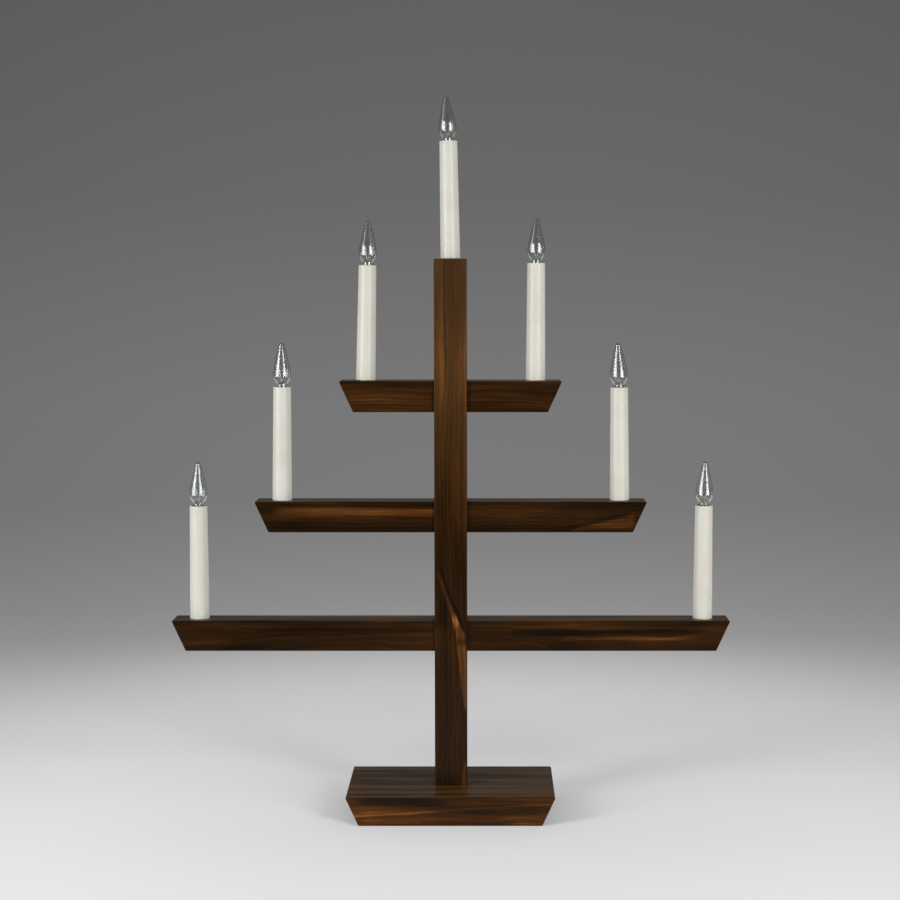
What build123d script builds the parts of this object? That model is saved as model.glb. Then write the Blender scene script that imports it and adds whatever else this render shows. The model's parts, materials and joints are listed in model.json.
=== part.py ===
"""Stepped electric candelabra of stained wood: a base block, a post, three cross arms and seven candles.

X runs to the right, Y to the back and Z up. The origin is in the middle of the base block's underside.
Lengths are in millimetres and angles in degrees.
"""
from build123d import *
import os
from collections import namedtuple
from math import atan2, cos, degrees, radians, sin, sqrt, tan

os.makedirs("parts", exist_ok=True)

# Base block: a board with slanting ends
base_length = 180.5
base_depth = 95.0
base_height = 25.4
base_arris = 1.5

# Post and cross arms: square stock, planed, with eased arrises
post_width = 28.0
post_depth = 28.0
arm_depth = 25.0
arm_height = 26.8
lower_arm_length = 484.3
middle_arm_length = 338.3
upper_arm_length = 191.3
first_tier_top = 170.7
tier_step = 103.7
wood_arris = 1.2
end_slant = 24.5

# Bored holes for the candles, and the routed grooves for the leads in the back
arm_end_to_candle = 23.15
upper_arm_end_to_candle = 22.65
candle_bore_radius = 6.0
candle_bore_depth = 19.5
top_bore_depth = 22.0
lead_bore_radius = 4.5
lead_bore_drop = 16.0
groove_depth = 3.6
groove_corner_radius = 5.0

# Way of the mains cord through the base block
cord_bore_radius = 3.5
cord_bore_chamfer = 0.8
passage_radius = 4.0

# Leads: single insulated wires, laid side by side
lead_radius = 1.1
lead_track = 1.6
lead_room = 0.5
lead_lift = 0.3
lead_bend_radius = 5.0
lead_tail = 4.0
lead_end_gap = 0.1

# Staples over the grooves
staple_wire_radius = 0.5
staple_leg = 7.0
staple_bend_radius = 0.7
staple_margin = 1.5
pilot_clearance = 0.05

# Wood screws from the base block up into the post
screw_length = 42.0
screw_radius = 1.9
screw_tip_length = 4.0
screw_tip_radius = 0.4
screw_head_radius = 4.0
screw_head_recess = 1.0
screw_slot_width = 0.9
screw_slot_depth = 0.8
screw_hole_clearance = 0.3
screw_pilot_clearance = 0.05
screw_spacing = 14.0
screw_y = -5.0

# Candle sleeve: a tapered plastic tube with a spigot
sleeve_height = 98.6
sleeve_foot_radius = 8.45
sleeve_top_radius = 7.55
sleeve_wall = 1.35
sleeve_rim_round = 0.4
sleeve_foot_thickness = 1.5
seat_gap = 0.03
spigot_radius = 5.6
spigot_wall = 1.3
spigot_length = 9.0

# Lampholder: an insulating cup in the top of the sleeve
holder_radius = 6.1
holder_pocket_depth = 15.0
holder_clearance = 0.1
holder_recess = 0.8
holder_floor = 3.0
ledge_height = 1.5
ledge_width = 0.8

# Brass parts of the lampholder
shell_wall = 0.22
shell_clearance = 0.1
shell_recess = 1.6
lug_width = 2.4
lug_drop = 3.5
lug_clearance = 0.15
contact_plate_radius = 2.4
contact_plate_thickness = 0.5
rivet_radius = 1.5
rivet_clearance = 0.1
tail_radius = 0.8

# Screw-in bulb
cap_radius = 4.7
cap_wall = 0.25
cap_recess = 0.55
cap_lip = 1.1
cap_corner = 0.5
cap_running_clearance = 0.08
bulb_end_height = 2.4
bulb_end_gap = 0.15
bulb_end_radius = 3.9
neck_radius = 4.15
neck_depth = 5.0
neck_fillet_radius = 2.5
bulb_shoulder_radius = 9.0
bulb_radius = 7.8
bulb_waist_height = 10.2
bulb_side_radius = 30.0
bulb_side_taper = 13.5
bulb_height = 38.2
glass_wall = 0.5
stem_foot_radius = 3.3
stem_foot_depth = 4.4
stem_foot_thickness = 0.5
stem_radius = 1.3
stem_height = 5.4
support_radius = 0.22
support_inset = 0.6
support_spread = 2.7
support_height = 17.5
support_bend_radius = 2.0
filament_radius = 0.13
filament_rise = 4.0
filament_bend_radius = 0.5

# Shape of the bulb's insulating end with its solder point, as shares of its radius and of its height
end_radius_shares = (0.0, 0.30, 0.42, 0.48, 0.56, 1.0)
end_height_shares = (0.0, 0.05, 0.22, 0.34, 0.38, 1.0)
# Shape of the glass stem in the bulb, as shares of its radius and of its height above the sleeve
stem_radius_shares = (1.15, 1.0, 0.7)
stem_height_shares = (-0.1, 0.84, 0.96)
# Filament's zigzag between the two supports, as shares of the spread and of the rise
filament_x_shares = (-1.0, -0.5, 0.0, 0.5, 1.0)
filament_rise_shares = (0.0, 1.0, 0.25, 1.0, 0.0)

Arm = namedtuple("Arm", "tier top length reach staples")
Candle = namedtuple("Candle", "name tier side lean height_share glass_lean")

# Candles stand with small leans of their own, their sleeves are cut to slightly different heights,
# and each glass is cemented into its cap a little askew
candles = [
    Candle("top", "top", 0, -0.9, 1.006, -2.5),
    Candle("upper_left", "upper", -1, 1.25, 0.995, 0.0),
    Candle("upper_right", "upper", 1, 0.15, 1.016, 0.4),
    Candle("middle_left", "middle", -1, 0.55, 0.993, -0.8),
    Candle("middle_right", "middle", 1, -0.55, 0.989, -1.5),
    Candle("lower_left", "lower", -1, 0.2, 1.0, 0.1),
    Candle("lower_right", "lower", 1, 0.1, 1.004, 1.1),
]
arms = [
    Arm(tier, first_tier_top + tiers_up * tier_step, length, length / 2 - end_to_candle, staples)
    for tier, tiers_up, length, end_to_candle, staples in (
        ("lower", 0, lower_arm_length, arm_end_to_candle, 3),
        ("middle", 1, middle_arm_length, arm_end_to_candle, 2),
        ("upper", 2, upper_arm_length, upper_arm_end_to_candle, 1),
    )
]

# Places and fits worked out from the sizes above
post_top = first_tier_top + 3 * tier_step
post_back = post_depth / 2
arm_front = post_back - arm_depth
arm_middle = post_back - arm_depth / 2
top_bore_z = post_top - lead_bore_drop
groove_width = 2 * (lead_track + lead_radius + lead_room)
lead_y = post_back - groove_depth + lead_lift + lead_radius
junction_bend_radius = groove_corner_radius + groove_width / 2 - lead_track
passage_y = post_back - passage_radius
staple_reach = groove_width / 2 + staple_margin
pilot_radius = staple_wire_radius + pilot_clearance
pocket_radius = holder_radius + holder_clearance
shell_inner_radius = cap_radius + cap_running_clearance
shell_outer_radius = shell_inner_radius + shell_wall
lug_x = shell_outer_radius - shell_wall / 2

# Arcs of the bulb's outline: the fillet between neck and shoulder, and the dome that ends the tapering sides
fillet_x = neck_radius + neck_fillet_radius
shoulder_x = bulb_radius - bulb_shoulder_radius
shoulder_fall = sqrt((bulb_shoulder_radius + neck_fillet_radius) ** 2 - (fillet_x - shoulder_x) ** 2)
shoulder_turn = degrees(atan2(shoulder_fall, fillet_x - shoulder_x))
fillet_height = bulb_waist_height - shoulder_fall
taper = radians(bulb_side_taper)
side_x = bulb_radius - bulb_side_radius
taper_foot_radius = side_x + bulb_side_radius * cos(taper)
taper_rise = bulb_height - bulb_waist_height - bulb_side_radius * sin(taper)
bulb_dome_radius = (taper_foot_radius * cos(taper) - taper_rise * sin(taper)) / (1 - sin(taper))
dome_height = bulb_height - bulb_dome_radius
arm_of = {arm.tier: arm for arm in arms}


def groove_z(arm):
    return arm.top - arm_height / 2


def sleeve_top(candle):
    return sleeve_height * candle.height_share


def leaning_plane(origin, lean):
    """Level plane tipped sideways, so that its axis leans to the right by the given angle."""
    turn = radians(lean)
    return Plane(origin=origin, x_dir=(cos(turn), 0, -sin(turn)), z_dir=(sin(turn), 0, cos(turn)))


def beside(plane, across, up):
    """The same plane, moved across and along its axis."""
    return Plane(origin=plane.from_local_coords((across, 0, up)), x_dir=plane.x_dir, z_dir=plane.z_dir)


def seat(candle):
    """Plane of a sleeve's foot: it leans about the rim that stays on the wood."""
    lift = sleeve_foot_radius * abs(sin(radians(candle.lean))) + seat_gap
    if candle.tier == "top":
        return leaning_plane((0, 0, post_top + lift), candle.lean)
    arm = arm_of[candle.tier]
    return leaning_plane((candle.side * arm.reach, arm_middle, arm.top + lift), candle.lean)


def mouth(candle):
    """Plane in the sleeve's top rim, tipped as the bulb's glass is."""
    rim = beside(seat(candle), 0, sleeve_top(candle))
    return leaning_plane(rim.origin, candle.lean + candle.glass_lean)


def profile_plane(plane):
    """Upright plane through the axis, where a turned piece is drawn by radius and height."""
    return Plane(origin=plane.origin, x_dir=plane.x_dir, z_dir=(0, -1, 0))


def turning_axis(plane):
    return Axis(plane.origin, plane.z_dir)


def turned(plane, points):
    """Turn a closed outline of (radius, height) points about the plane's axis."""
    with BuildSketch(profile_plane(plane)) as outline:
        with BuildLine():
            Polyline(*points, close=True)
        make_face()
    revolve(outline.sketch, axis=turning_axis(plane))


def wire(points, radii, radius):
    """Round wire along straight runs joined by tangent arcs."""
    with BuildLine() as route:
        FilletPolyline(*points, radius=radii)
    with BuildSketch(Plane(origin=route.line @ 0, z_dir=route.line % 0)) as section:
        Circle(radius)
    sweep(section.sketch, path=route.line)


def save(part, label):
    part.label = label
    export_step(part, f"parts/{label}.step")


def slanted_bar(length, height, depth, front, top):
    """Bar whose ends slant inwards from the top edge to the bottom edge."""
    slant = height * tan(radians(end_slant))
    with BuildSketch(Plane.XZ.offset(-front)) as front_view:
        with BuildLine():
            Polyline(
                (-length / 2, top),
                (length / 2, top),
                (length / 2 - slant, top - height),
                (slant - length / 2, top - height),
                close=True,
            )
        make_face()
    extrude(front_view.sketch, amount=-depth)


def back_plane(x, z):
    """Plane on the back of the post and the arms, as seen from behind."""
    return Plane(origin=(x, post_back, z), x_dir=(-1, 0, 0), z_dir=(0, 1, 0))


def arm_staples(arm):
    """Middles of the staples along one arm, as x values."""
    first = post_width / 2
    span = arm.reach - lead_bore_radius - first
    places = [first + span * (i + 0.5) / arm.staples for i in range(arm.staples)]
    return [side * place for side in (-1, 1) for place in places]


def post_staples():
    """Heights of the staples along the post: two below the lower arm and one in each stretch above."""
    lower, middle, upper = arms
    foot_stretch = lower.top - arm_height - base_height
    heights = [base_height + foot_stretch / 3, base_height + foot_stretch * 2 / 3]
    for below, above in ((lower, middle), (middle, upper)):
        heights.append((below.top + above.top - arm_height) / 2)
    return heights + [(upper.top + top_bore_z - lead_bore_radius) / 2]


# Base block, with the way for the cord and the holes for the screws
with BuildPart() as base_block:
    slanted_bar(base_length, base_height, base_depth, -base_depth / 2, base_height)
    fillet(base_block.edges(), base_arris)
    with Locations((0, passage_y, base_height)):
        Hole(passage_radius, depth=base_height / 2 + passage_radius)
    with Locations(Plane(origin=(0, base_depth / 2, base_height / 2), x_dir=(-1, 0, 0), z_dir=(0, 1, 0))):
        CounterSinkHole(
            cord_bore_radius,
            cord_bore_radius + cord_bore_chamfer,
            depth=base_depth / 2 - passage_y,
            counter_sink_angle=90,
        )
    for screw_x in (-screw_spacing / 2, screw_spacing / 2):
        with Locations(Plane(origin=(screw_x, screw_y, screw_head_recess), z_dir=(0, 0, -1))):
            CounterSinkHole(
                screw_radius + screw_hole_clearance,
                screw_head_radius + screw_hole_clearance,
                depth=base_height,
                counter_sink_angle=90,
            )
save(base_block.part, "base_block")

# Post: halved from behind for the arms, grooved for the leads and bored for the top candle
with BuildPart() as post:
    with BuildSketch(Plane.XY.offset(base_height)):
        Rectangle(post_width, post_depth)
    extrude(amount=post_top - base_height)
    fillet(post.edges().filter_by(Axis.Z) + post.faces().sort_by(Axis.Z)[-1].edges(), wood_arris)
    lap_depth = post_back - arm_middle
    for arm in arms:
        with Locations((0, arm_middle + lap_depth / 2, groove_z(arm))):
            Box(post_width, lap_depth, arm_height, mode=Mode.SUBTRACT)
    with BuildSketch(back_plane(0, (base_height + top_bore_z) / 2)):
        Rectangle(groove_width, top_bore_z - base_height)
    extrude(amount=-groove_depth, mode=Mode.SUBTRACT)
    with Locations((0, 0, post_top)):
        Hole(candle_bore_radius, depth=top_bore_depth)
    with Locations(back_plane(0, top_bore_z)):
        Hole(lead_bore_radius, depth=post_back)
    for z in post_staples():
        with Locations(back_plane(-staple_reach, z), back_plane(staple_reach, z)):
            Hole(pilot_radius, depth=staple_leg + pilot_clearance)
    for screw_x in (-screw_spacing / 2, screw_spacing / 2):
        with Locations((screw_x, screw_y, base_height)):
            Hole(screw_radius + screw_pilot_clearance, depth=screw_length + screw_head_recess - base_height)
save(post.part, "post")

# Cross arms: halved from the front over the post, grooved and bored from the back
for arm in arms:
    with BuildPart() as cross_arm:
        slanted_bar(arm.length, arm_height, arm_depth, arm_front, arm.top)
        fillet(cross_arm.edges(), wood_arris)
        with Locations((0, (arm_front + arm_middle) / 2, groove_z(arm))):
            Box(post_width, arm_middle - arm_front, arm_height, mode=Mode.SUBTRACT)
        with BuildSketch(back_plane(0, groove_z(arm))) as groove:
            Rectangle(2 * arm.reach, groove_width)
            Rectangle(groove_width, arm_height)
            fillet(groove.vertices().sort_by_distance((0, 0, 0))[:4], groove_corner_radius)
        extrude(amount=-groove_depth, mode=Mode.SUBTRACT)
        for x in (-arm.reach, arm.reach):
            with Locations((x, arm_middle, arm.top)):
                Hole(candle_bore_radius, depth=candle_bore_depth)
            with Locations(back_plane(x, groove_z(arm))):
                Hole(lead_bore_radius, depth=post_back - arm_middle)
        for x in arm_staples(arm):
            for z in (groove_z(arm) - staple_reach, groove_z(arm) + staple_reach):
                with Locations(back_plane(x, z)):
                    Hole(pilot_radius, depth=staple_leg + pilot_clearance)
    save(cross_arm.part, f"{arm.tier}_arm")

# Staples across the grooves, one solid each
with BuildPart() as lead_staples:
    crown_y = post_back + staple_bend_radius
    tip_y = post_back - staple_leg
    for arm in arms:
        for x in arm_staples(arm):
            low, high = groove_z(arm) - staple_reach, groove_z(arm) + staple_reach
            wire(
                [(x, tip_y, low), (x, crown_y, low), (x, crown_y, high), (x, tip_y, high)],
                staple_bend_radius,
                staple_wire_radius,
            )
    for z in post_staples():
        left, right = -staple_reach, staple_reach
        wire(
            [(left, tip_y, z), (left, crown_y, z), (right, crown_y, z), (right, tip_y, z)],
            staple_bend_radius,
            staple_wire_radius,
        )
save(lead_staples.part, "lead_staples")

# Wood screws with slotted countersunk heads, under the post
with BuildPart() as post_screws:
    for screw_x in (-screw_spacing / 2, screw_spacing / 2):
        turned(
            leaning_plane((screw_x, screw_y, screw_head_recess), 0),
            [
                (0, 0),
                (screw_head_radius, 0),
                (screw_radius, screw_head_radius - screw_radius),
                (screw_radius, screw_length - screw_tip_length),
                (screw_tip_radius, screw_length),
                (0, screw_length),
            ],
        )
        with Locations((screw_x, screw_y, screw_head_recess)):
            Box(2 * screw_head_radius, screw_slot_width, 2 * screw_slot_depth, mode=Mode.SUBTRACT)
save(post_screws.part, "post_screws")


def holder_foot(candle):
    return sleeve_top(candle) - holder_pocket_depth


def lead_end(candle, lead_x):
    """Where a lead ends under the lampholder: the right one at the shell's lug, the left one at the rivet."""
    foot = seat(candle)
    across = lug_x if lead_x > foot.origin.X else 0
    return beside(foot, across, holder_foot(candle) - lug_drop - lead_end_gap).origin


def sleeve_radius(candle, height):
    return sleeve_foot_radius + (sleeve_top_radius - sleeve_foot_radius) * height / sleeve_top(candle)


# Candle sleeves and what stands in them
for candle in candles:
    foot = seat(candle)
    top = sleeve_top(candle)
    foot_of_holder = holder_foot(candle)
    floor_top = foot_of_holder + holder_floor

    with BuildPart() as sleeve:
        under_ledge = foot_of_holder - ledge_height
        with BuildSketch(profile_plane(foot)) as wall:
            with BuildLine():
                Polyline(
                    (spigot_radius - spigot_wall, -spigot_length),
                    (spigot_radius, -spigot_length),
                    (spigot_radius, 0),
                    (sleeve_foot_radius, 0),
                    (sleeve_top_radius, top),
                    (pocket_radius, top),
                    (pocket_radius, foot_of_holder),
                    (pocket_radius - ledge_width, foot_of_holder),
                    (pocket_radius - ledge_width, under_ledge),
                    (sleeve_radius(candle, under_ledge) - sleeve_wall, under_ledge),
                    (sleeve_radius(candle, sleeve_foot_thickness) - sleeve_wall, sleeve_foot_thickness),
                    (spigot_radius - spigot_wall, sleeve_foot_thickness),
                    close=True,
                )
            make_face()
            fillet(wall.vertices().sort_by(Axis.Y)[-2:] + wall.vertices().sort_by(Axis.X)[-1:], sleeve_rim_round)
        revolve(axis=turning_axis(foot))
    save(sleeve.part, f"sleeve_{candle.name}")

    with BuildPart() as lampholder:
        turned(
            foot,
            [
                (rivet_radius + rivet_clearance, foot_of_holder),
                (holder_radius, foot_of_holder),
                (holder_radius, top - holder_recess),
                (shell_outer_radius + shell_clearance, top - holder_recess),
                (shell_outer_radius + shell_clearance, floor_top),
                (rivet_radius + rivet_clearance, floor_top),
            ],
        )
        with Locations(beside(foot, lug_x, foot_of_holder)):
            Box(
                shell_wall + 2 * lug_clearance,
                lug_width + 2 * lug_clearance,
                2 * (holder_floor + lug_clearance),
                mode=Mode.SUBTRACT,
            )
    save(lampholder.part, f"lampholder_{candle.name}")

    tip = floor_top + contact_plate_thickness + bulb_end_gap
    cap_foot = tip + bulb_end_height
    with BuildPart() as bulb_contact:
        turned(
            foot,
            [
                (bulb_end_radius * r, tip + bulb_end_height * h)
                for r, h in zip(end_radius_shares, end_height_shares)
            ]
            + [(0, cap_foot)],
        )
    save(bulb_contact.part, f"bulb_contact_{candle.name}")

    with BuildPart() as bulb_cap:
        turned(
            foot,
            [
                (cap_radius - cap_wall - cap_lip, cap_foot),
                (cap_radius - cap_corner, cap_foot),
                (cap_radius, cap_foot + cap_corner),
                (cap_radius, top - cap_recess),
                (cap_radius - cap_wall, top - cap_recess),
                (cap_radius - cap_wall, cap_foot + cap_corner),
                (cap_radius - cap_wall - cap_corner, cap_foot + cap_wall),
                (cap_radius - cap_wall - cap_lip, cap_foot + cap_wall),
            ],
        )
    save(bulb_cap.part, f"bulb_cap_{candle.name}")

    # Glass: a neck, a shoulder up to the waist, straight tapering sides and a dome, all tangent, with an even wall
    rim = mouth(candle)
    with BuildPart() as bulb_glass:
        with BuildSketch(profile_plane(rim)):
            with BuildLine():
                Line((neck_radius, -neck_depth), (neck_radius, fillet_height))
                CenterArc((fillet_x, fillet_height), neck_fillet_radius, 180, -shoulder_turn)
                CenterArc((shoulder_x, bulb_waist_height), bulb_shoulder_radius, -shoulder_turn, shoulder_turn)
                side = CenterArc((side_x, bulb_waist_height), bulb_side_radius, 0, bulb_side_taper)
                dome = CenterArc((0, dome_height), bulb_dome_radius, bulb_side_taper, 90 - bulb_side_taper)
                Line(side @ 1, dome @ 0)
                offset(amount=glass_wall, side=Side.LEFT)
            make_face()
        revolve(axis=turning_axis(rim))
    save(bulb_glass.part, f"bulb_glass_{candle.name}")

    # Glass stem with two support wires and the filament between their ends
    with BuildPart() as bulb_filament:
        stem_foot = stem_foot_thickness - stem_foot_depth
        turned(
            rim,
            [(0, -stem_foot_depth), (stem_foot_radius, -stem_foot_depth), (stem_foot_radius, stem_foot)]
            + [(stem_radius * r, stem_height * h) for r, h in zip(stem_radius_shares, stem_height_shares)]
            + [(0, stem_height)],
        )
        for side in (-1, 1):
            places = [(support_inset, 0), (support_inset, stem_height), (support_spread, support_height)]
            points = [beside(rim, side * across, up).origin for across, up in places]
            wire(points, support_bend_radius, support_radius)
        zigzag = [
            beside(rim, support_spread * x, support_height + filament_rise * h).origin
            for x, h in zip(filament_x_shares, filament_rise_shares)
        ]
        wire(zigzag, filament_bend_radius, filament_radius)
    save(bulb_filament.part, f"bulb_filament_{candle.name}")

# Threaded brass shells of the lampholders, each with its solder lug
with BuildPart() as socket_shells:
    for candle in candles:
        foot = seat(candle)
        floor_top = holder_foot(candle) + holder_floor
        turned(
            foot,
            [
                (shell_inner_radius, floor_top),
                (shell_outer_radius, floor_top),
                (shell_outer_radius, sleeve_top(candle) - shell_recess),
                (shell_inner_radius, sleeve_top(candle) - shell_recess),
            ],
        )
        lug_length = holder_floor + lug_drop
        with Locations(beside(foot, lug_x, floor_top - lug_length / 2)):
            Box(shell_wall, lug_width, lug_length)
save(socket_shells.part, "socket_shells")

# Centre contacts, riveted through the floors of the lampholders
with BuildPart() as socket_contacts:
    for candle in candles:
        foot_of_holder = holder_foot(candle)
        floor_top = foot_of_holder + holder_floor
        turned(
            seat(candle),
            [
                (0, floor_top + contact_plate_thickness),
                (contact_plate_radius, floor_top + contact_plate_thickness),
                (contact_plate_radius, floor_top),
                (rivet_radius, floor_top),
                (rivet_radius, foot_of_holder),
                (tail_radius, foot_of_holder),
                (tail_radius, foot_of_holder - lug_drop),
                (0, foot_of_holder - lug_drop),
            ],
        )
save(socket_contacts.part, "socket_contacts")


def arm_candle(arm, side):
    return next(candle for candle in candles if (candle.tier, candle.side) == (arm.tier, side))


def into_candle(arm, side):
    """Lower track of an arm, from the post out to the candle and up to the lampholder."""
    x, z = side * (arm.reach + lead_track), groove_z(arm) - lead_track
    points = [(side * lead_track, lead_y, z), (x, lead_y, z), (x, arm_middle, z), lead_end(arm_candle(arm, side), x)]
    return points, [junction_bend_radius, lead_bend_radius, lead_bend_radius]


def out_of_candle(arm, side):
    """Upper track of an arm, from the lampholder down and back to the post."""
    x, z = side * (arm.reach - lead_track), groove_z(arm) + lead_track
    points = [lead_end(arm_candle(arm, side), x), (x, arm_middle, z), (x, lead_y, z), (side * lead_track, lead_y, z)]
    return points, [lead_bend_radius, lead_bend_radius, junction_bend_radius]


# The eight leads of the series circuit, as mirrored pairs
lower, middle, upper = arms
with BuildPart() as foot_leads:
    for side in (-1, 1):
        points, radii = into_candle(lower, side)
        wire([(side * lead_track, lead_y, base_height - lead_tail)] + points, radii, lead_radius)
save(foot_leads.part, "foot_leads")

for below, above, name in ((lower, middle, "lower_leads"), (middle, upper, "upper_leads")):
    with BuildPart() as tier_leads:
        for side in (-1, 1):
            down, down_radii = out_of_candle(below, side)
            up, up_radii = into_candle(above, side)
            wire(down + up, down_radii + up_radii, lead_radius)
    save(tier_leads.part, name)

with BuildPart() as top_leads:
    for side in (-1, 1):
        down, down_radii = out_of_candle(upper, side)
        x = side * lead_track
        up = [(x, lead_y, top_bore_z), (x, 0, top_bore_z), lead_end(candles[0], x)]
        wire(down + up, down_radii + [lead_bend_radius, lead_bend_radius], lead_radius)
save(top_leads.part, "top_leads")
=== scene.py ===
"""Looks of the stepped electric candelabra: stained pine, ivory sleeves and clear screw-in bulbs.

Lengths of the pieces and places of the wood's streaks are in millimetres, and are turned into metres where
they are used. Other lengths, in materials and in the studio, are in metres. Colours of the pieces are sRGB
from 0 to 255, and colours with four values are linear.
"""

import json
from collections import namedtuple
from math import atan2, cos, pi, radians, sin

import bmesh
import bpy
from mathutils import Matrix, Vector


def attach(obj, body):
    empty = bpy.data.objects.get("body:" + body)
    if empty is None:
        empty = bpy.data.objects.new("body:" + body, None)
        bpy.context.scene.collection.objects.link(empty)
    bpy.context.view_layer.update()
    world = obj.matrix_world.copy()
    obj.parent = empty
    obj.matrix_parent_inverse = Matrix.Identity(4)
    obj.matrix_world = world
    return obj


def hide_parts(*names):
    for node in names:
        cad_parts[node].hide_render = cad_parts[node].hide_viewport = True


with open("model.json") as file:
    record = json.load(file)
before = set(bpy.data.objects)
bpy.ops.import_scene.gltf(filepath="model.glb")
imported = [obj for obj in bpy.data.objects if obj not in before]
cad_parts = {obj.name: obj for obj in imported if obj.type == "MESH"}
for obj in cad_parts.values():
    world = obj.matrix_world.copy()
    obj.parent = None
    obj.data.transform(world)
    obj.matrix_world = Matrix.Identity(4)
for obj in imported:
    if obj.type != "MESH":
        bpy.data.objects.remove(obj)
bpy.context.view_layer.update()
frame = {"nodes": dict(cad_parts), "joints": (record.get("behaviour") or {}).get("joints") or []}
scene = bpy.context.scene
nodes = frame["nodes"]
MM = 0.001

# Camera, fitted to the photograph
CAMERA_PLACE = (0.02993, -1.46006, 0.45866)
CAMERA_DIP = 0.0961

camera = bpy.data.objects.new("camera", bpy.data.cameras.new("camera"))
scene.collection.objects.link(camera)
camera.location = CAMERA_PLACE
camera.rotation_euler = (pi / 2 - CAMERA_DIP, 0, 0)
camera.data.lens = 68
camera.data.sensor_width = 36
camera.data.shift_x = -0.0394
scene.camera = camera
scene.view_settings.view_transform = "Standard"


# Shader node helpers
def put(tree, kind, feeds=(), **settings):
    """Adds a node, with its settings, and feeds its inputs from sockets or constants."""
    node = tree.nodes.new(kind)
    for key, value in settings.items():
        setattr(node, key, value)
    for key, value in dict(feeds).items():
        if isinstance(value, bpy.types.NodeSocket):
            tree.links.new(value, node.inputs[key])
        else:
            node.inputs[key].default_value = value
    return node


def calc(tree, operation, *values, clamp=False):
    """Output of a math node."""
    feeds = dict(enumerate(values))
    return put(tree, "ShaderNodeMath", feeds, operation=operation, use_clamp=clamp).outputs[0]


def calc_vector(tree, operation, *values, output="Vector"):
    """Output of a vector math node."""
    feeds = dict(enumerate(values))
    return put(tree, "ShaderNodeVectorMath", feeds, operation=operation).outputs[output]


def weighted_sum(tree, *terms):
    """Sum of (socket, gain, middle) terms, where each adds its gain times its distance from its middle."""
    total = None
    for socket, gain, middle in terms:
        term = calc(tree, "MULTIPLY", calc(tree, "SUBTRACT", socket, middle), gain)
        total = term if total is None else calc(tree, "ADD", total, term)
    return total


def between(tree, value, low, high, to_low=0.0, to_high=1.0, kind="SMOOTHSTEP"):
    """Value mapped from one range to another, and held at its ends."""
    feeds = {"Value": value, "From Min": low, "From Max": high, "To Min": to_low, "To Max": to_high}
    return put(tree, "ShaderNodeMapRange", feeds, interpolation_type=kind).outputs[0]


def noise(tree, vector, scale, detail=2.0, roughness=0.5, output=0):
    """Noise as a grey, which is output 0, or as a colour, which is output 1."""
    feeds = {"Vector": vector, "Scale": scale, "Detail": detail, "Roughness": roughness}
    return put(tree, "ShaderNodeTexNoise", feeds).outputs[output]


def stretched(tree, vector, scale, seed=0.0):
    """Vector scaled by axis, and moved by the seed to another part of the noise."""
    feeds = {"Vector": vector, "Location": (seed, seed * 1.7, seed * 0.6), "Scale": scale}
    return put(tree, "ShaderNodeMapping", feeds).outputs[0]


def split(tree, vector):
    return put(tree, "ShaderNodeSeparateXYZ", {0: vector}).outputs


def place(tree, output="Object"):
    return put(tree, "ShaderNodeTexCoord").outputs[output]


def linear(colour):
    """Linear colour of an sRGB colour."""
    shares = [c / 255 for c in colour]
    return (*(s / 12.92 if s <= 0.04045 else ((s + 0.055) / 1.055) ** 2.4 for s in shares), 1)


def ramp(tree, value, stops):
    """Colour ramp of (position, colour) stops, where a single number is a linear grey."""
    node = put(tree, "ShaderNodeValToRGB", {0: value})
    elements = node.color_ramp.elements
    while len(elements) < len(stops):
        elements.new(0.5)
    for element, (position, colour) in zip(elements, stops):
        element.position = position
        element.color = linear(colour) if isinstance(colour, tuple) else (colour, colour, colour, 1)
    return node.outputs[0]


def blend(tree, factor, a, b, mode="MIX"):
    feeds = {0: factor, 6: a, 7: b}
    return put(tree, "ShaderNodeMix", feeds, data_type="RGBA", blend_type=mode).outputs[2]


def material(name, **constants):
    """New material with a Principled shader, whose constants are set on its own sockets."""
    made = bpy.data.materials.new(name)
    made.use_nodes = True
    tree = made.node_tree
    shader = tree.nodes["Principled BSDF"]
    for key, value in constants.items():
        shader.inputs[key.replace("_", " ")].default_value = value
    return made, tree, shader


def bump(tree, shader, height, strength, distance):
    feeds = {"Height": height, "Strength": strength, "Distance": distance}
    tree.links.new(put(tree, "ShaderNodeBump", feeds).outputs[0], shader.inputs["Normal"])


# Wood: the stain from its darkest to its lightest tint, and the film that lies on it, which is partly dust
# and partly a painted sheen
STAIN = [
    (0.0, (12, 6, 2)), (0.2, (27, 15, 4)), (0.4, (44, 25, 6)), (0.55, (63, 35, 9)),
    (0.7, (88, 50, 15)), (0.85, (118, 76, 34)), (1.0, (152, 108, 62)),
]
FILM_AND_SHEEN = (98, 74, 46)

# On upward faces the film is dust and a painted sheen, which lightens the tops and hides more of the stain
# where the bands are light
DUST_AND_SHEEN = {"low": 0.36, "high": 0.66, "to_low": 0.06, "to_high": 0.68}

# Scales of the noises, along and across the grain
WANDER_SCALES = (5, 16)
CLOUD_SCALES = (9, 44)
BAND_SCALES = (4, 130)
FIBRE_SCALES = (22, 1300)
PORE_SCALES = (90, 2600)

# How far the grain strays, and how its rings follow each other from the darkest to the lightest and back
GRAIN_WANDER = (0.02, 0.02, 0.02)
RINGS_PER_METRE = 330.0
RING_UNEVENNESS = 2.2
RING_UNEVENNESS_SCALE = 90.0
RING_STOPS = [(0.0, 0.0), (0.45, 0.12), (0.8, 0.85), (0.92, 1.0), (1.0, 0.05)]

# How much each feature changes the tint. The end grain is darker.
CLOUD_TINT = 0.7
BAND_TINT = 0.62
FIBRE_TINT = 0.24
RING_TINT = 0.1
PORE_TINT = -0.1
END_DARKENING = 0.12
RAGGED_EDGE = 0.006

# Satin varnish, which is stronger on upward faces than on upright ones
VARNISH_UPWARD = 0.3
VARNISH_UPRIGHT = 0.05
VARNISH_ROUGHNESS = 0.17
WOOD_ROUGHNESS = 0.33

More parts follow.
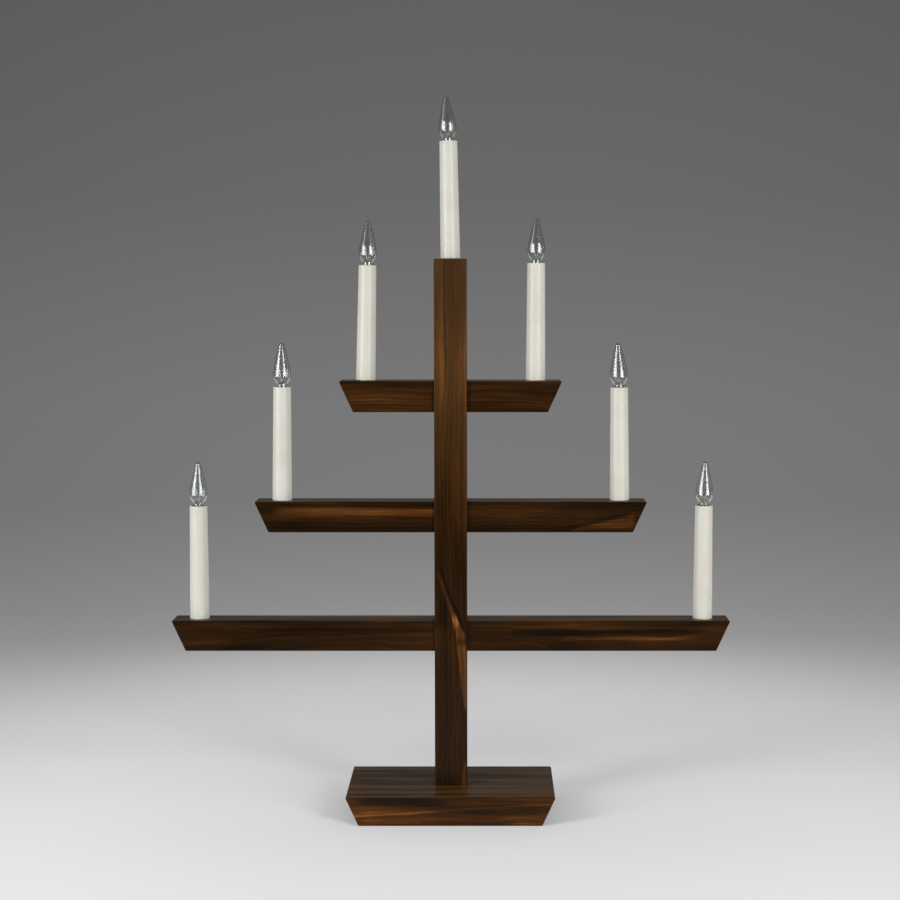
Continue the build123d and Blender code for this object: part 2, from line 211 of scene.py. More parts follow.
# A light or, below zero, dark streak on the front, from u0 to u1 along the grain. Its middle goes from w0 to
# w1 across the grain, and its half width from h0 to h1. It is feathered at its sides and fades at its ends.
Streak = namedtuple("Streak", "strength u0 w0 h0 u1 w1 h1 feather fade")

# A lighter, greyer film, partly a haze and partly a painted sheen, that grows to its strength between two
# places along the grain
HazeAndSheen = namedtuple("HazeAndSheen", "start end strength")


def streak_group():
    """Node group that gives the mask of one streak."""
    group = bpy.data.node_groups.new("streak", "ShaderNodeTree")
    names = ("u", "w", "u0", "u1", "w0", "w1", "h0", "h1", "feather", "fade")
    for name in names:
        group.interface.new_socket(name, in_out="INPUT", socket_type="NodeSocketFloat")
    group.interface.new_socket("mask", in_out="OUTPUT", socket_type="NodeSocketFloat")
    source = group.nodes.new("NodeGroupInput").outputs
    s = {name: source[name] for name in names}
    centre = between(group, s["u"], s["u0"], s["u1"], s["w0"], s["w1"], "LINEAR")
    half = between(group, s["u"], s["u0"], s["u1"], s["h0"], s["h1"], "LINEAR")
    away = calc(group, "ABSOLUTE", calc(group, "SUBTRACT", s["w"], centre))
    across = between(group, away, half, calc(group, "ADD", half, s["feather"]), 1.0, 0.0)
    start = between(group, s["u"], calc(group, "SUBTRACT", s["u0"], s["fade"]), s["u0"])
    end = between(group, s["u"], s["u1"], calc(group, "ADD", s["u1"], s["fade"]), 1.0, 0.0)
    mask = calc(group, "MULTIPLY", across, calc(group, "MULTIPLY", start, end))
    group.links.new(mask, group.nodes.new("NodeGroupOutput").inputs["mask"])
    return group


STREAK_GROUP = streak_group()


def growth_rings(tree, bent, pith, lie):
    """Uneven rings round a pith that runs along the grain."""
    from_pith = calc_vector(tree, "SUBTRACT", bent, Vector(pith) * MM)
    flat = calc_vector(tree, "MULTIPLY", from_pith, lie(0, 1))
    radius = calc_vector(tree, "LENGTH", flat, output="Value")
    feeds = {"W": radius, "Scale": RING_UNEVENNESS_SCALE}
    uneven = put(tree, "ShaderNodeTexNoise", feeds, noise_dimensions="1D").outputs[0]
    uneven = calc(tree, "MULTIPLY", uneven, RING_UNEVENNESS)
    years = calc(tree, "ADD", calc(tree, "MULTIPLY", radius, RINGS_PER_METRE), uneven)
    return ramp(tree, calc(tree, "FRACT", years), RING_STOPS)


def with_streaks(tree, tint, u, w, bands, streaks):
    """Tint with streaks on it, whose edges the bands make ragged."""
    ragged = calc(tree, "MULTIPLY", calc(tree, "SUBTRACT", bands, 0.5), RAGGED_EDGE)
    ragged = calc(tree, "ADD", w, ragged)
    for streak in streaks:
        feeds = {name: value * MM for name, value in streak._asdict().items() if name != "strength"}
        feeds.update(u=u, w=ragged)
        mask = put(tree, "ShaderNodeGroup", feeds, node_tree=STREAK_GROUP).outputs[0]
        tint = calc(tree, "ADD", tint, calc(tree, "MULTIPLY", mask, streak.strength))
    return tint


def wood(name, along, pith, seed, tone, figure, streaks, haze_and_sheen=HazeAndSheen(0, 1, 0)):
    """Pine under a dark stain and varnish. The grain runs along X or Z, with its rings round the pith.
    Tone is how light the stain is, and figure is how strong its clouds and bands are."""
    made, tree, shader = material(
        name, Coat_Roughness=VARNISH_ROUGHNESS, Coat_IOR=1.5, Specular_IOR_Level=0.08
    )
    spot = place(tree)
    parts = split(tree, spot)
    u, w = (parts["X"], parts["Z"]) if along == "X" else (parts["Z"], parts["X"])

    def lie(a, b):
        return (a, b, b) if along == "X" else (b, b, a)

    wander = noise(tree, stretched(tree, spot, lie(*WANDER_SCALES), seed), 1.0, 3, 0.5, output=1)
    shift = calc_vector(tree, "SUBTRACT", wander, (0.5, 0.5, 0.5))
    shift = calc_vector(tree, "MULTIPLY", shift, GRAIN_WANDER)
    bent = calc_vector(tree, "ADD", spot, shift)
    ring = growth_rings(tree, bent, pith, lie)
    cloud = noise(tree, stretched(tree, spot, lie(*CLOUD_SCALES), seed + 3), 1.0, 3, 0.5)
    bands = noise(tree, stretched(tree, bent, lie(*BAND_SCALES), seed + 5), 1.0, 3, 0.55)
    fibre = noise(tree, stretched(tree, bent, lie(*FIBRE_SCALES), seed + 7), 1.0, 3, 0.6)
    pores = noise(tree, stretched(tree, spot, lie(*PORE_SCALES), seed + 9), 1.0, 1)
    pores = between(tree, pores, 0.66, 0.74)

    facing = split(tree, place(tree, "Normal"))
    end = between(tree, calc(tree, "ABSOLUTE", facing[along]), 0.55, 0.85)
    upward = between(tree, facing["Z"], 0.6, 0.95)

    tint = weighted_sum(
        tree,
        (cloud, CLOUD_TINT * figure, 0.5),
        (bands, BAND_TINT * figure, 0.5),
        (fibre, FIBRE_TINT, 0.5),
        (ring, RING_TINT, 0.3),
        (pores, PORE_TINT, 0),
    )
    tint = with_streaks(tree, calc(tree, "ADD", tint, tone), u, w, bands, streaks)
    tint = calc(tree, "SUBTRACT", tint, calc(tree, "MULTIPLY", end, END_DARKENING))
    # Painted sheen: upward faces get a lighter, greyer film, partly dust and partly a painted sheen
    dust_and_sheen = calc(tree, "MULTIPLY", upward, between(tree, bands, **DUST_AND_SHEEN))
    # Painted sheen: along the grain the film is partly a haze and partly a painted sheen
    dull_and_sheen = between(tree, u, haze_and_sheen.start * MM, haze_and_sheen.end * MM, 0.0, haze_and_sheen.strength)
    film_and_sheen = calc(tree, "MAXIMUM", dust_and_sheen, dull_and_sheen)
    colour = blend(tree, film_and_sheen, ramp(tree, tint, STAIN), linear(FILM_AND_SHEEN))
    tree.links.new(colour, shader.inputs["Base Color"])

    varnish = calc(tree, "ADD", calc(tree, "MULTIPLY", upward, VARNISH_UPWARD), VARNISH_UPRIGHT)
    tree.links.new(varnish, shader.inputs["Coat Weight"])
    gloss = weighted_sum(tree, (cloud, 0.25, 0.5), (fibre, 0.22, 0.5), (end, 0.12, 0))
    tree.links.new(calc(tree, "ADD", gloss, WOOD_ROUGHNESS, clamp=True), shader.inputs["Roughness"])
    height = weighted_sum(tree, (fibre, 0.6, 0.5), (ring, 0.5, 0), (pores, -0.5, 0))
    bump(tree, shader, height, 0.25, 0.0002)
    return made


base_streaks = [
    Streak(0.17, -80, 9.0, 0.4, 88, 19.0, 0.2, 1.3, 10),
    Streak(-0.24, -68, 22.0, 2.6, -14, 20.5, 2.2, 2.4, 16),
    Streak(0.13, -70, 3.6, 2.4, 84, 5.5, 3.6, 3.0, 12),
    Streak(0.10, -76, 15.5, 1.4, -20, 14.5, 1.0, 2.4, 14),
    Streak(-0.12, -60, 1.0, 1.2, 40, 1.4, 1.0, 1.6, 20),
    Streak(-0.10, 20, 12.0, 1.2, 70, 13.0, 0.8, 2.0, 12),
]
# The first three marks are broad and cover the whole front: the post is lighter over its upper part, partly a
# painted sheen, and a little darker near its foot
post_streaks = [
    Streak(0.13, 400, 0, 14, 484, 0, 14, 6.0, 60),
    Streak(0.12, 262, 0, 14, 400, 0, 14, 6.0, 50),
    Streak(-0.05, 10, 0, 14, 120, 0, 14, 6.0, 30),
    Streak(0.10, 390, -8.6, 1.2, 484, -8.8, 1.4, 2.6, 40),
    Streak(-0.20, 396, -4.6, 0.3, 470, -5.2, 0.3, 1.2, 20),
    Streak(0.08, 300, -9.0, 1.0, 390, -6.0, 1.6, 3.0, 30),
    Streak(0.20, 170, 4.4, 1.3, 210, -11.4, 0.5, 1.4, 8),
    Streak(0.32, 97, 12.2, 0.9, 147, 9.6, 3.4, 1.6, 8),
    Streak(0.30, 158, 8.2, 3.0, 172, 3.8, 1.3, 1.6, 8),
    Streak(-0.22, 166, 9.6, 0.7, 214, -8.4, 0.5, 1.2, 6),
    Streak(-0.10, 168, -8.0, 4.0, 186, -6.0, 2.0, 4.0, 8),
    Streak(0.30, 27, 11.4, 1.4, 44, 12.4, 0.8, 2.0, 8),
]
lower_streaks = [
    Streak(0.20, 112, 155.6, 0.7, 190, 155.0, 0.7, 2.0, 30),
    Streak(-0.18, 60, 161.0, 0.6, 200, 160.4, 0.8, 1.4, 20),
    Streak(0.11, 70, 164.8, 0.8, 220, 164.2, 0.8, 1.6, 24),
    Streak(-0.12, 30, 158.6, 0.4, 120, 158.2, 0.4, 1.2, 20),
    Streak(0.07, -200, 157.0, 1.2, -60, 158.0, 1.2, 3.0, 40),
    Streak(-0.08, -160, 163.0, 0.6, -20, 162.0, 0.6, 1.6, 30),
]
middle_streaks = [
    Streak(0.24, -144, 266.8, 1.6, -12, 264.8, 2.6, 2.4, 14),
    Streak(-0.10, -140, 271.8, 0.8, -20, 270.8, 0.8, 1.6, 14),
    Streak(0.22, 106, 249.2, 0.3, 156, 258.2, 4.6, 1.6, 4),
    Streak(-0.14, 104, 252.8, 0.3, 150, 265.0, 0.3, 1.4, 6),
]
upper_streaks = [
    Streak(-0.10, -90, 376.5, 0.6, 90, 376.0, 0.6, 1.4, 5),
    Streak(0.06, -84, 364.0, 3.0, -20, 362.0, 4.0, 4.0, 10),
    Streak(0.05, 20, 366.0, 4.0, 84, 362.0, 4.0, 4.0, 10),
]
# The post's upper part gets a lighter, greyer film: partly a haze, partly a painted sheen
post_haze_and_sheen = HazeAndSheen(250, 420, 0.25)
wooden = {
    "base_block": wood("stained_pine_base", "X", (0, 26, -34), 1.3, 0.48, 0.9, base_streaks),
    "post": wood("stained_pine_post", "Z", (-34, 22, 0), 4.1, 0.38, 0.62, post_streaks, post_haze_and_sheen),
    "lower_arm": wood("stained_pine_lower_arm", "X", (0, 30, 139), 7.7, 0.365, 1.0, lower_streaks),
    "middle_arm": wood("stained_pine_middle_arm", "X", (0, -18, 222), 11.9, 0.335, 1.0, middle_streaks),
    "upper_arm": wood("stained_pine_upper_arm", "X", (0, 28, 412), 15.3, 0.42, 0.9, upper_streaks),
}

# Plastics, metals and glass
GLASS_FILM = (0.84, 0.86, 0.83, 1)


def moulded(name, colour, warm, roughness, **constants):
    """Injection-moulded plastic: faint clouds of a warmer tint, fine orange peel and uneven gloss."""
    made, tree, shader = material(name, **constants)
    spot = place(tree)
    cloud = between(tree, noise(tree, spot, 45.0, 3, 0.6), 0.35, 0.75)
    grime = noise(tree, stretched(tree, spot, (400, 400, 60)), 1.0, 3)
    soiled = between(tree, grime, 0.6, 0.8, 0.0, 0.08)
    tint = blend(tree, cloud, linear(colour), linear(warm))
    tree.links.new(blend(tree, soiled, tint, linear(warm), "MULTIPLY"), shader.inputs["Base Color"])
    gloss = between(tree, grime, 0.3, 0.7, roughness - 0.05, roughness + 0.08, "LINEAR")
    tree.links.new(gloss, shader.inputs["Roughness"])
    bump(tree, shader, noise(tree, spot, 2600.0, 2), 0.06, 0.0001)
    return made


def metal(name, colour, stain, roughness, marks):
    """Bright metal with a little tarnish and drawing or rolling marks, whose scales are given by axis."""
    made, tree, shader = material(name, Metallic=1.0)
    spot = place(tree)
    tarnish = between(tree, noise(tree, spot, 380.0, 4, 0.6), 0.45, 0.75)
    lines = noise(tree, stretched(tree, spot, marks), 1.0, 2)
    tree.links.new(blend(tree, tarnish, linear(colour), linear(stain)), shader.inputs["Base Color"])
    drawn = between(tree, lines, 0.3, 0.7, roughness, roughness + 0.14)
    rough = calc(tree, "ADD", calc(tree, "MULTIPLY", tarnish, 0.2), drawn)
    tree.links.new(rough, shader.inputs["Roughness"])
    bump(tree, shader, lines, 0.15, 0.00005)
    return made


def glassy(name, colour, ripple, roughness, refraction):
    """Blown glass, with a faint film in places and the ripples that blowing leaves."""
    made, tree, shader = material(name, Transmission_Weight=1.0, Roughness=roughness, IOR=refraction)
    spot = place(tree)
    filmy = between(tree, noise(tree, spot, 220.0, 3), 0.5, 0.8)
    tree.links.new(blend(tree, filmy, linear(colour), GLASS_FILM), shader.inputs["Base Color"])
    bump(tree, shader, noise(tree, stretched(tree, spot, (140, 140, 60)), 1.0, 1), ripple, 0.0004)
    return made


ivory = moulded(
    "ivory_sleeve_plastic", (219, 217, 206), (214, 209, 194), 0.36,
    Subsurface_Weight=0.12, Subsurface_Scale=0.002, Specular_IOR_Level=0.45,
)
cream = moulded("cream_lampholder_plastic", (222, 217, 200), (212, 203, 180), 0.5)
brown_cover = moulded("brown_lead_insulation", (46, 31, 22), (66, 48, 36), 0.42)
black_glass = moulded("black_insulating_glass", (14, 13, 15), (24, 22, 26), 0.1)
brass = metal("brass_rolled_sheet", (222, 184, 110), (150, 112, 62), 0.2, (300, 300, 2600))
tin = metal("tin_solder", (178, 180, 184), (110, 110, 112), 0.34, (900, 900, 900))
nickel = metal("nickel_support_wire", (150, 150, 154), (86, 84, 84), 0.26, (1500, 1500, 200))
copper_seal = metal("coppered_seal_wire", (128, 84, 68), (92, 58, 48), 0.34, (1500, 1500, 200))
tungsten = metal("tungsten_filament", (96, 94, 96), (58, 56, 60), 0.36, (3000, 3000, 3000))
zinc = metal("zinc_plated_staple_wire", (176, 180, 184), (112, 112, 108), 0.28, (900, 900, 900))
yellow_zinc = metal("yellow_zinc_screw", (196, 178, 128), (132, 112, 70), 0.3, (1400, 1400, 1400))
clear_glass = glassy("clear_blown_glass", (240, 243, 240), 0.02, 0.0, 1.5)
stem_glass = glassy("lead_glass_stem", (226, 230, 218), 0.3, 0.14, 1.53)

look_by_start = {
    "sleeve_": ivory, "lampholder_": cream, "bulb_glass_": clear_glass, "socket_": brass,
    "foot_leads": brown_cover, "lower_leads": brown_cover, "upper_leads": brown_cover,
    "top_leads": brown_cover, "lead_staples": zinc, "post_screws": yellow_zinc,
}


def dress(name, look):
    node = nodes[name]
    node.data.materials.clear()
    node.data.materials.append(look)


for name, look in wooden.items():
    dress(name, look)
for name in nodes:
    for start, look in look_by_start.items():
        if name.startswith(start):
            dress(name, look)


# Mesh helpers, in millimetres
SHARP_ANGLE = radians(40)
AXIS_RADIUS = 1e-6


def finish_mesh(name, bm, matrix, looks):
    """Object from a bmesh, placed by a matrix in metres, smooth but for its sharp edges."""
    bmesh.ops.recalc_face_normals(bm, faces=bm.faces)
    for face in bm.faces:
        face.smooth = True
    for edge in bm.edges:
        if len(edge.link_faces) == 2:
            edge.smooth = edge.calc_face_angle() < SHARP_ANGLE
    mesh = bpy.data.meshes.new(name)
    bm.to_mesh(mesh)
    bm.free()
    mesh.transform(matrix @ Matrix.Scale(MM, 4))
    for look in looks:
        mesh.materials.append(look)
    made = bpy.data.objects.new(name, mesh)
    scene.collection.objects.link(made)
    return made


def spin(bm, outline, sides, shape=None, material_index=0):
    """Turns an outline of (radius, height) about Z. Shape moves a point by its angle, radius and height."""
    shape = shape or (lambda angle, r, h: (r, h))
    rings = []
    for r, h in outline:
        if r < AXIS_RADIUS:
            rings.append([bm.verts.new((0, 0, shape(0, r, h)[1]))])
            continue
        ring = []
        for i in range(sides):
            angle = 2 * pi * i / sides
            rr, hh = shape(angle, r, h)
            ring.append(bm.verts.new((rr * cos(angle), rr * sin(angle), hh)))
        rings.append(ring)
    for a, b in zip(rings, rings[1:]):
        for i in range(sides):
            j = (i + 1) % sides
            corners = [a[i % len(a)], a[j % len(a)], b[j % len(b)], b[i % len(b)]]
            corners = [c for k, c in enumerate(corners) if c not in corners[:k]]
            if len(corners) > 2:
                bm.faces.new(corners).material_index = material_index


def tube(bm, points, radius, sides=8, material_index=0):
    """Round wire along the points, with closed ends and a rotation-minimising frame."""
    points = [Vector(p) for p in points]
    aim = [(b - a).normalized() for a, b in zip(points, points[1:])]
    aims = [aim[0]] + [(a + b).normalized() for a, b in zip(aim, aim[1:])] + [aim[-1]]
    side = aims[0].orthogonal().normalized()
    angles = [2 * pi * i / sides for i in range(sides)]
    rings = []
    for point, direction in zip(points, aims):
        side = (side - direction * side.dot(direction)).normalized()
        other = direction.cross(side)
        rings.append([bm.verts.new(point + radius * (side * cos(t) + other * sin(t))) for t in angles])
    for a, b in zip(rings, rings[1:]):
        for i in range(sides):
            j = (i + 1) % sides
            bm.faces.new((a[i], a[j], b[j], b[i])).material_index = material_index
    bm.faces.new(rings[0][::-1]).material_index = material_index
    bm.faces.new(rings[-1]).material_index = material_index


def smooth_path(points, steps):
    """Catmull-Rom points through the given ones."""
    points = [Vector(p) for p in points]
    ends = [2 * points[0] - points[1]] + points + [2 * points[-1] - points[-2]]
    made = []
    for a, b, c, d in zip(ends, ends[1:], ends[2:], ends[3:]):
        square = 2 * a - 5 * b + 4 * c - d
        cube = 3 * b - a - 3 * c + d
        for i in range(steps):
            t = i / steps
            made.append(0.5 * (2 * b + (c - a) * t + square * t**2 + cube * t**3))
    return made + [points[-1]]


def leaning(origin, lean):
    """Frame at an origin in metres, whose Z leans to the right by an angle in radians."""
    c, s = cos(lean), sin(lean)
    return Matrix(((c, 0, s, origin.x), (0, 1, 0, origin.y), (-s, 0, c, origin.z), (0, 0, 0, 1)))


def share(distance, length):
    """How much of a length a distance has covered, from 0 to 1."""
    return min(max(distance / length, 0), 1)


# Bulbs, with heights from the sleeve's mouth. Each glass leans by so many degrees to the right in its cap.
GLASS_LEAN = {
    "top": -2.5, "upper_left": 0.0, "upper_right": 0.4, "middle_left": -0.8, "middle_right": -1.5,
    "lower_left": 0.1, "lower_right": 1.1,
}
CAP_RADIUS = 4.7
CAP_ROOT = 4.42
CAP_WALL = 0.2
CAP_TOP = -0.55
CAP_FOOT = -8.95
CAP_CORNER = 0.5
CAP_HOLE = 3.35
COLLAR_HEIGHT = 1.2
THREAD_PITCH = 1.814
THREAD_START = 0.6
THREAD_RUN_OUT = 0.8
THREAD_SHARPNESS = 1.4
THREAD_ROWS = 76

# Outlines as (radius, height): the insulating glass under the cap, the solder point, and the glass stem with
# its flare, its tube and its rounded end
END_GLASS = [
    (0, CAP_FOOT), (3.9, CAP_FOOT), (3.86, -9.25), (3.4, -9.9), (2.6, -10.35), (2.15, -10.45),
    (1.9, -10.55), (0, -10.6),
]
SOLDER_POINT = [
    (0, -10.5), (1.75, -10.5), (1.8, -10.72), (1.55, -11.02), (1.1, -11.22), (0.55, -11.32), (0, -11.35),
]
STEM = [
    (0, -4.4), (3.3, -4.4), (3.3, -3.9), (2.5, -3.6), (1.75, -2.6), (1.5, -1.2), (1.42, 0.4),
    (1.38, 1.8), (1.4, 3.0), (1.36, 4.1), (1.2, 4.9), (0.7, 5.3), (0, 5.4),
]
PRESS_FOOT = 0.4
PRESS_LENGTH = 2.0
PRESS_WIDENING = 0.22
PRESS_FLATTENING = 0.42

# Wires on the right-hand side, and the way of the coiled filament between their hooks
SEALED_WIRE = [(0.55, 0, -3.6), (0.5, 0, 0), (0.75, 0, 3.0), (0.8, 0, 5.2)]
FREE_WIRE = [
    (0.8, 0, 5.1), (0.95, 0.03, 6.6), (1.6, -0.05, 11.0), (2.4, 0.04, 15.6), (2.75, 0.02, 17.3),
    (2.72, 0.1, 17.85), (2.35, 0.12, 17.75), (2.4, 0.0, 17.25),
]
SLUNG_FILAMENT = [
    (-2.55, 0.0, 17.5), (-2.0, 0.1, 19.6), (-1.3, 0.05, 21.2), (-0.65, -0.1, 20.2), (0.0, 0.0, 18.7),
    (0.65, 0.1, 20.2), (1.3, 0.05, 21.2), (2.0, -0.1, 19.6), (2.55, 0.0, 17.5),
]
SEALED_WIRE_RADIUS = 0.16
FREE_WIRE_RADIUS = 0.17
WIRE_STEPS = 6
COIL_RADIUS = 0.17
COIL_WIRE_RADIUS = 0.05
COIL_STEPS = 36
COIL_STEPS_PER_TURN = 6


def screw_cap(bm):
    """Rolled screw cap: a plain collar above, the thread, and a rounded shoulder below."""
    rise = CAP_TOP - CAP_FOOT - CAP_CORNER
    heights = [CAP_FOOT + CAP_CORNER + rise * i / THREAD_ROWS for i in range(THREAD_ROWS + 1)]

    def thread(angle, r, h):
        if r < CAP_ROOT - CAP_WALL + 0.05:
            return r, h
        run_in = share(h - CAP_FOOT - THREAD_START, THREAD_RUN_OUT)
        run_in *= share(CAP_TOP - COLLAR_HEIGHT - h, THREAD_RUN_OUT)
        wave = 0.5 - 0.5 * cos(2 * pi * h / THREAD_PITCH - angle)
        return r - (CAP_RADIUS - CAP_ROOT) * run_in * wave**THREAD_SHARPNESS, h

    corner = CAP_RADIUS - CAP_CORNER
    outside = [(CAP_HOLE, CAP_FOOT), (corner, CAP_FOOT), (CAP_RADIUS - 0.15, CAP_FOOT + 0.15)]
    outside += [(CAP_RADIUS, h) for h in heights]
    inside = [(CAP_RADIUS - CAP_WALL, h) for h in heights[::-4]]
    inside += [(corner, CAP_FOOT + CAP_WALL), (CAP_HOLE, CAP_FOOT + CAP_WALL), (CAP_HOLE, CAP_FOOT)]
    spin(bm, outside + inside, 64, thread)
    bmesh.ops.remove_doubles(bm, verts=bm.verts, dist=1e-5)


def contact_end(bm):
    """Insulating glass under the cap, with the domed and slightly uneven solder point in its middle."""
    spin(bm, END_GLASS, 48)
    spin(bm, SOLDER_POINT, 40, lambda angle, r, h: (r * (1 + 0.03 * sin(3 * angle + 1)), h), 1)


def stem(bm):
    """Glass stem: a flare sealed into the neck, a tube, and a press pinched flat round the wires."""
    spin(bm, STEM, 40)
    for vert in bm.verts:
        pinch = share(vert.co.z - PRESS_FOOT, PRESS_LENGTH)
        vert.co.x *= 1 + PRESS_WIDENING * pinch
        vert.co.y *= 1 - PRESS_FLATTENING * pinch


def supports(bm):
    """Two wires: coppered where they are sealed in the press, nickel above it, with hooks at their ends."""
    for side in (-1, 1):
        for points, radius, index in ((SEALED_WIRE, SEALED_WIRE_RADIUS, 1), (FREE_WIRE, FREE_WIRE_RADIUS, 0)):
            path = smooth_path([(side * x, y, z) for x, y, z in points], WIRE_STEPS)
            tube(bm, path, radius, material_index=index)


def filament(bm):
    """Coiled filament, slung in arches between the two hooks."""
    line = smooth_path(SLUNG_FILAMENT, COIL_STEPS)
    coil = []
    side = Vector((0, 1, 0))
    for i, point in enumerate(line):
        direction = (line[min(i + 1, len(line) - 1)] - line[max(i - 1, 0)]).normalized()
        side = (side - direction * side.dot(direction)).normalized()
        turn = 2 * pi * i / COIL_STEPS_PER_TURN
        coil.append(point + COIL_RADIUS * (side * cos(turn) + direction.cross(side) * sin(turn)))
    tube(bm, coil, COIL_WIRE_RADIUS, 5)


joints = {joint["name"]: joint for joint in frame["joints"]}
for name, glass_lean in GLASS_LEAN.items():
    joint = joints[f"bulb_turn_{name}"]
    axis = Vector(joint["axis"]).normalized()
    foot = Vector(joint["pos_m"])
    height = max((vertex.co - foot).dot(axis) for vertex in nodes[f"sleeve_{name}"].data.vertices)
    mouth = foot + axis * height
    lean = atan2(axis.x, axis.z)
    straight = leaning(mouth, lean)
    askew = leaning(mouth, lean + radians(glass_lean))

    for make, label, matrix, looks, node, body, slot in (
        (screw_cap, "screw_cap", straight, [brass], "bulb_cap", "bulb", "brass"),
        (contact_end, "contact_end", straight, [black_glass, tin], "bulb_contact", "bulb_end", "black_glass"),
        (stem, "glass_stem", askew, [stem_glass], "bulb_filament", "bulb", "clear_glass"),
        (supports, "support_wires", askew, [nickel, copper_seal], "bulb_filament", "bulb", "filament_wire"),
        (filament, "coiled_filament", askew, [tungsten], "bulb_filament", "bulb", "filament_wire"),
    ):
        bm = bmesh.new()
        make(bm)
        piece = finish_mesh(f"{label}_{name}", bm, matrix, looks)
        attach(piece, f"{body}_{name}")
        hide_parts(f"{node}_{name}")


# Floor, which fades into the backdrop between two distances and glows faintly where it is seen directly
FLOOR_RADIUS = 0.9
FLOOR_FADE_START = 0.30
FLOOR_FADE_END = 0.80
FLOOR_COLOUR = (0.88, 0.88, 0.885, 1)
FLOOR_GLOW = 0.11


def seen_directly(tree):
    """One for a ray from the camera, a reflection or glass, and else zero."""
    path = put(tree, "ShaderNodeLightPath").outputs
    seen = calc(tree, "MAXIMUM", path["Is Camera Ray"], path["Is Glossy Ray"])
    return calc(tree, "MAXIMUM", seen, path["Is Transmission Ray"])


def floor_material():
    made = bpy.data.materials.new("pale_floor")
    made.use_nodes = True
    tree = made.node_tree
    tree.nodes.clear()
    spot = put(tree, "ShaderNodeNewGeometry").outputs["Position"]
    away = calc_vector(tree, "MULTIPLY", spot, (1, 1, 0))
    away = calc_vector(tree, "LENGTH", away, output="Value")
    matt = put(tree, "ShaderNodeBsdfDiffuse", {"Color": FLOOR_COLOUR}).outputs[0]
    strength = calc(tree, "MULTIPLY", seen_directly(tree), FLOOR_GLOW)
    glow = put(tree, "ShaderNodeEmission", {"Strength": strength}).outputs[0]
    solid = put(tree, "ShaderNodeAddShader", {0: matt, 1: glow}).outputs[0]
    clear = put(tree, "ShaderNodeBsdfTransparent").outputs[0]
    fade = between(tree, away, FLOOR_FADE_START, FLOOR_FADE_END)
    mixed = put(tree, "ShaderNodeMixShader", {0: fade, 1: solid, 2: clear}).outputs[0]
    tree.links.new(mixed, put(tree, "ShaderNodeOutputMaterial").inputs["Surface"])
    return made


def lay_floor():
    bm = bmesh.new()
    bmesh.ops.create_circle(bm, cap_ends=True, radius=FLOOR_RADIUS, segments=96)
    mesh = bpy.data.meshes.new("floor")
    bm.to_mesh(mesh)
    bm.free()
    mesh.materials.append(floor_material())
    made = bpy.data.objects.new("floor", mesh)
    scene.collection.objects.link(made)


lay_floor()

# Backdrop: linear greys by the height of the direction that is looked in, darker to the sides and behind
BACKDROP_LOW = -0.4
BACKDROP_HIGH = 0.2
BACKDROP = [
    (-0.35, 0.79), (-0.284, 0.69), (-0.24, 0.565), (-0.2284, 0.503), (-0.2173, 0.44), (-0.2, 0.325),
    (-0.183, 0.279), (-0.154, 0.235), (-0.125, 0.2), (-0.067, 0.189), (-0.008, 0.166), (0.05, 0.142),
    (0.107, 0.132), (0.16, 0.124),
]
BACKDROP_ASIDE = 0.86

# Two tall white screens: the middle and half width of each in degrees, from the camera's side to the right
SCREENS = ((-57, 20), (38, 13.5))
SCREEN_SIDE_FADE = 7
SCREEN_FOOT_FADE = (-0.34, -0.2)
SCREEN_HEAD_FADE = (0.36, 0.47)
SCREEN_BRIGHTNESS = 6.0

# The room is dim behind the camera, and its even light fills the shadows
ROOM_DIMMEST = 0.12
FILL_COLOUR = (0.97, 0.98, 1.0, 1)
FILL_STRENGTH = 0.37


def backdrop_greys(tree, direction):
    rise = between(tree, direction["Z"], BACKDROP_LOW, BACKDROP_HIGH, 0, 1, "LINEAR")
    span = BACKDROP_HIGH - BACKDROP_LOW
    greys = ramp(tree, rise, [((z - BACKDROP_LOW) / span, grey) for z, grey in BACKDROP])
    ahead = between(tree, direction["Y"], 0.95, 1.0, BACKDROP_ASIDE, 1.0, "LINEAR")
    return blend(tree, 1.0, greys, ahead, "MULTIPLY")


def white_screens(tree, direction):
    turned = calc(tree, "ARCTAN2", direction["X"], calc(tree, "MULTIPLY", direction["Y"], -1.0))
    screens = None
    for middle, half in SCREENS:
        aside = calc(tree, "ABSOLUTE", calc(tree, "SUBTRACT", turned, radians(middle)))
        edge = radians(half + SCREEN_SIDE_FADE)
        screen = between(tree, aside, radians(half), edge, SCREEN_BRIGHTNESS, 0.0)
        screens = screen if screens is None else calc(tree, "ADD", screens, screen)
    low = between(tree, direction["Z"], *SCREEN_FOOT_FADE)
    high = between(tree, direction["Z"], *SCREEN_HEAD_FADE, 1.0, 0.0)
    return calc(tree, "MULTIPLY", screens, calc(tree, "MULTIPLY", low, high))


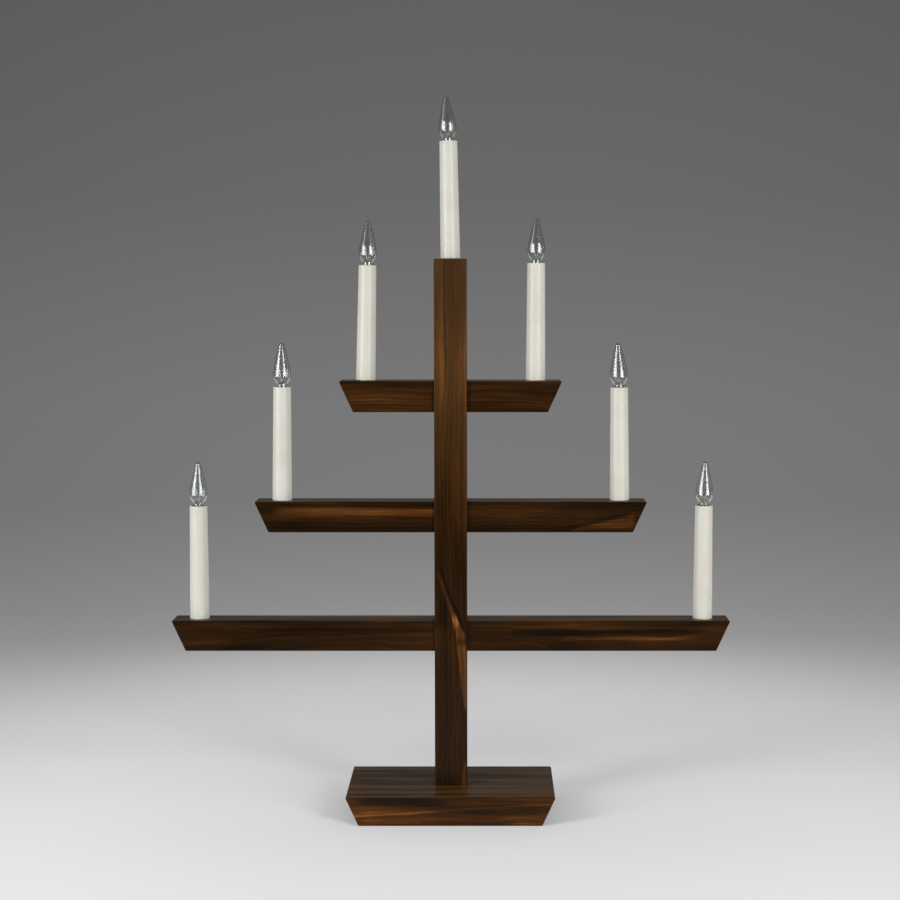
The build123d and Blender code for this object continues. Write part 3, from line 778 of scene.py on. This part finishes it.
def studio_world():
    """The eye and glass see the backdrop. Gloss shows it with a dim side behind the camera, and sharp
    reflections, which only the glass has, also show the screens. All else gets the even fill."""
    made = bpy.data.worlds.new("studio")
    made.use_nodes = True
    tree = made.node_tree
    tree.nodes.clear()
    direction = split(tree, place(tree, "Generated"))
    rays = put(tree, "ShaderNodeLightPath").outputs
    backdrop = backdrop_greys(tree, direction)
    dim = between(tree, direction["Y"], -0.3, 0.4, ROOM_DIMMEST, 1.0)
    screens = calc(tree, "MULTIPLY", white_screens(tree, direction), rays["Is Singular Ray"])
    room = blend(tree, 1.0, blend(tree, 1.0, backdrop, dim, "MULTIPLY"), screens, "ADD")
    mirrored = calc(tree, "MINIMUM", rays["Glossy Depth"], 1.0)
    shown = blend(tree, mirrored, backdrop, room)
    shown = put(tree, "ShaderNodeBackground", {"Color": shown}).outputs[0]
    fill = put(tree, "ShaderNodeBackground", {"Color": FILL_COLOUR, "Strength": FILL_STRENGTH}).outputs[0]
    mixed = put(tree, "ShaderNodeMixShader", {0: seen_directly(tree), 1: fill, 2: shown}).outputs[0]
    tree.links.new(mixed, put(tree, "ShaderNodeOutputWorld").inputs["Surface"])
    return made


scene.world = studio_world()

# Two upright softboxes, aimed at the middle of the object
SOFTBOX_DISTANCE = 1.3
SOFTBOX_HEIGHT = 0.58
SOFTBOX_WIDTH = 0.34
SOFTBOX_LENGTH = 0.84
SOFTBOX_AIM = Vector((0, 0, 0.33))


def softbox(name, azimuth, power):
    """Area lamp that glass doesn't show. Azimuth is from the camera's side, positive to the right."""
    light = bpy.data.lights.new(name, "AREA")
    light.shape = "RECTANGLE"
    light.size = SOFTBOX_WIDTH
    light.size_y = SOFTBOX_LENGTH
    light.energy = power
    made = bpy.data.objects.new(name, light)
    scene.collection.objects.link(made)
    turn = radians(azimuth)
    made.location = (SOFTBOX_DISTANCE * sin(turn), -SOFTBOX_DISTANCE * cos(turn), SOFTBOX_HEIGHT)
    made.rotation_euler = (SOFTBOX_AIM - made.location).to_track_quat("-Z", "Y").to_euler()
    made.visible_transmission = False


softbox("left_softbox", -55, 9.1)
softbox("right_softbox", 40, 8.5)
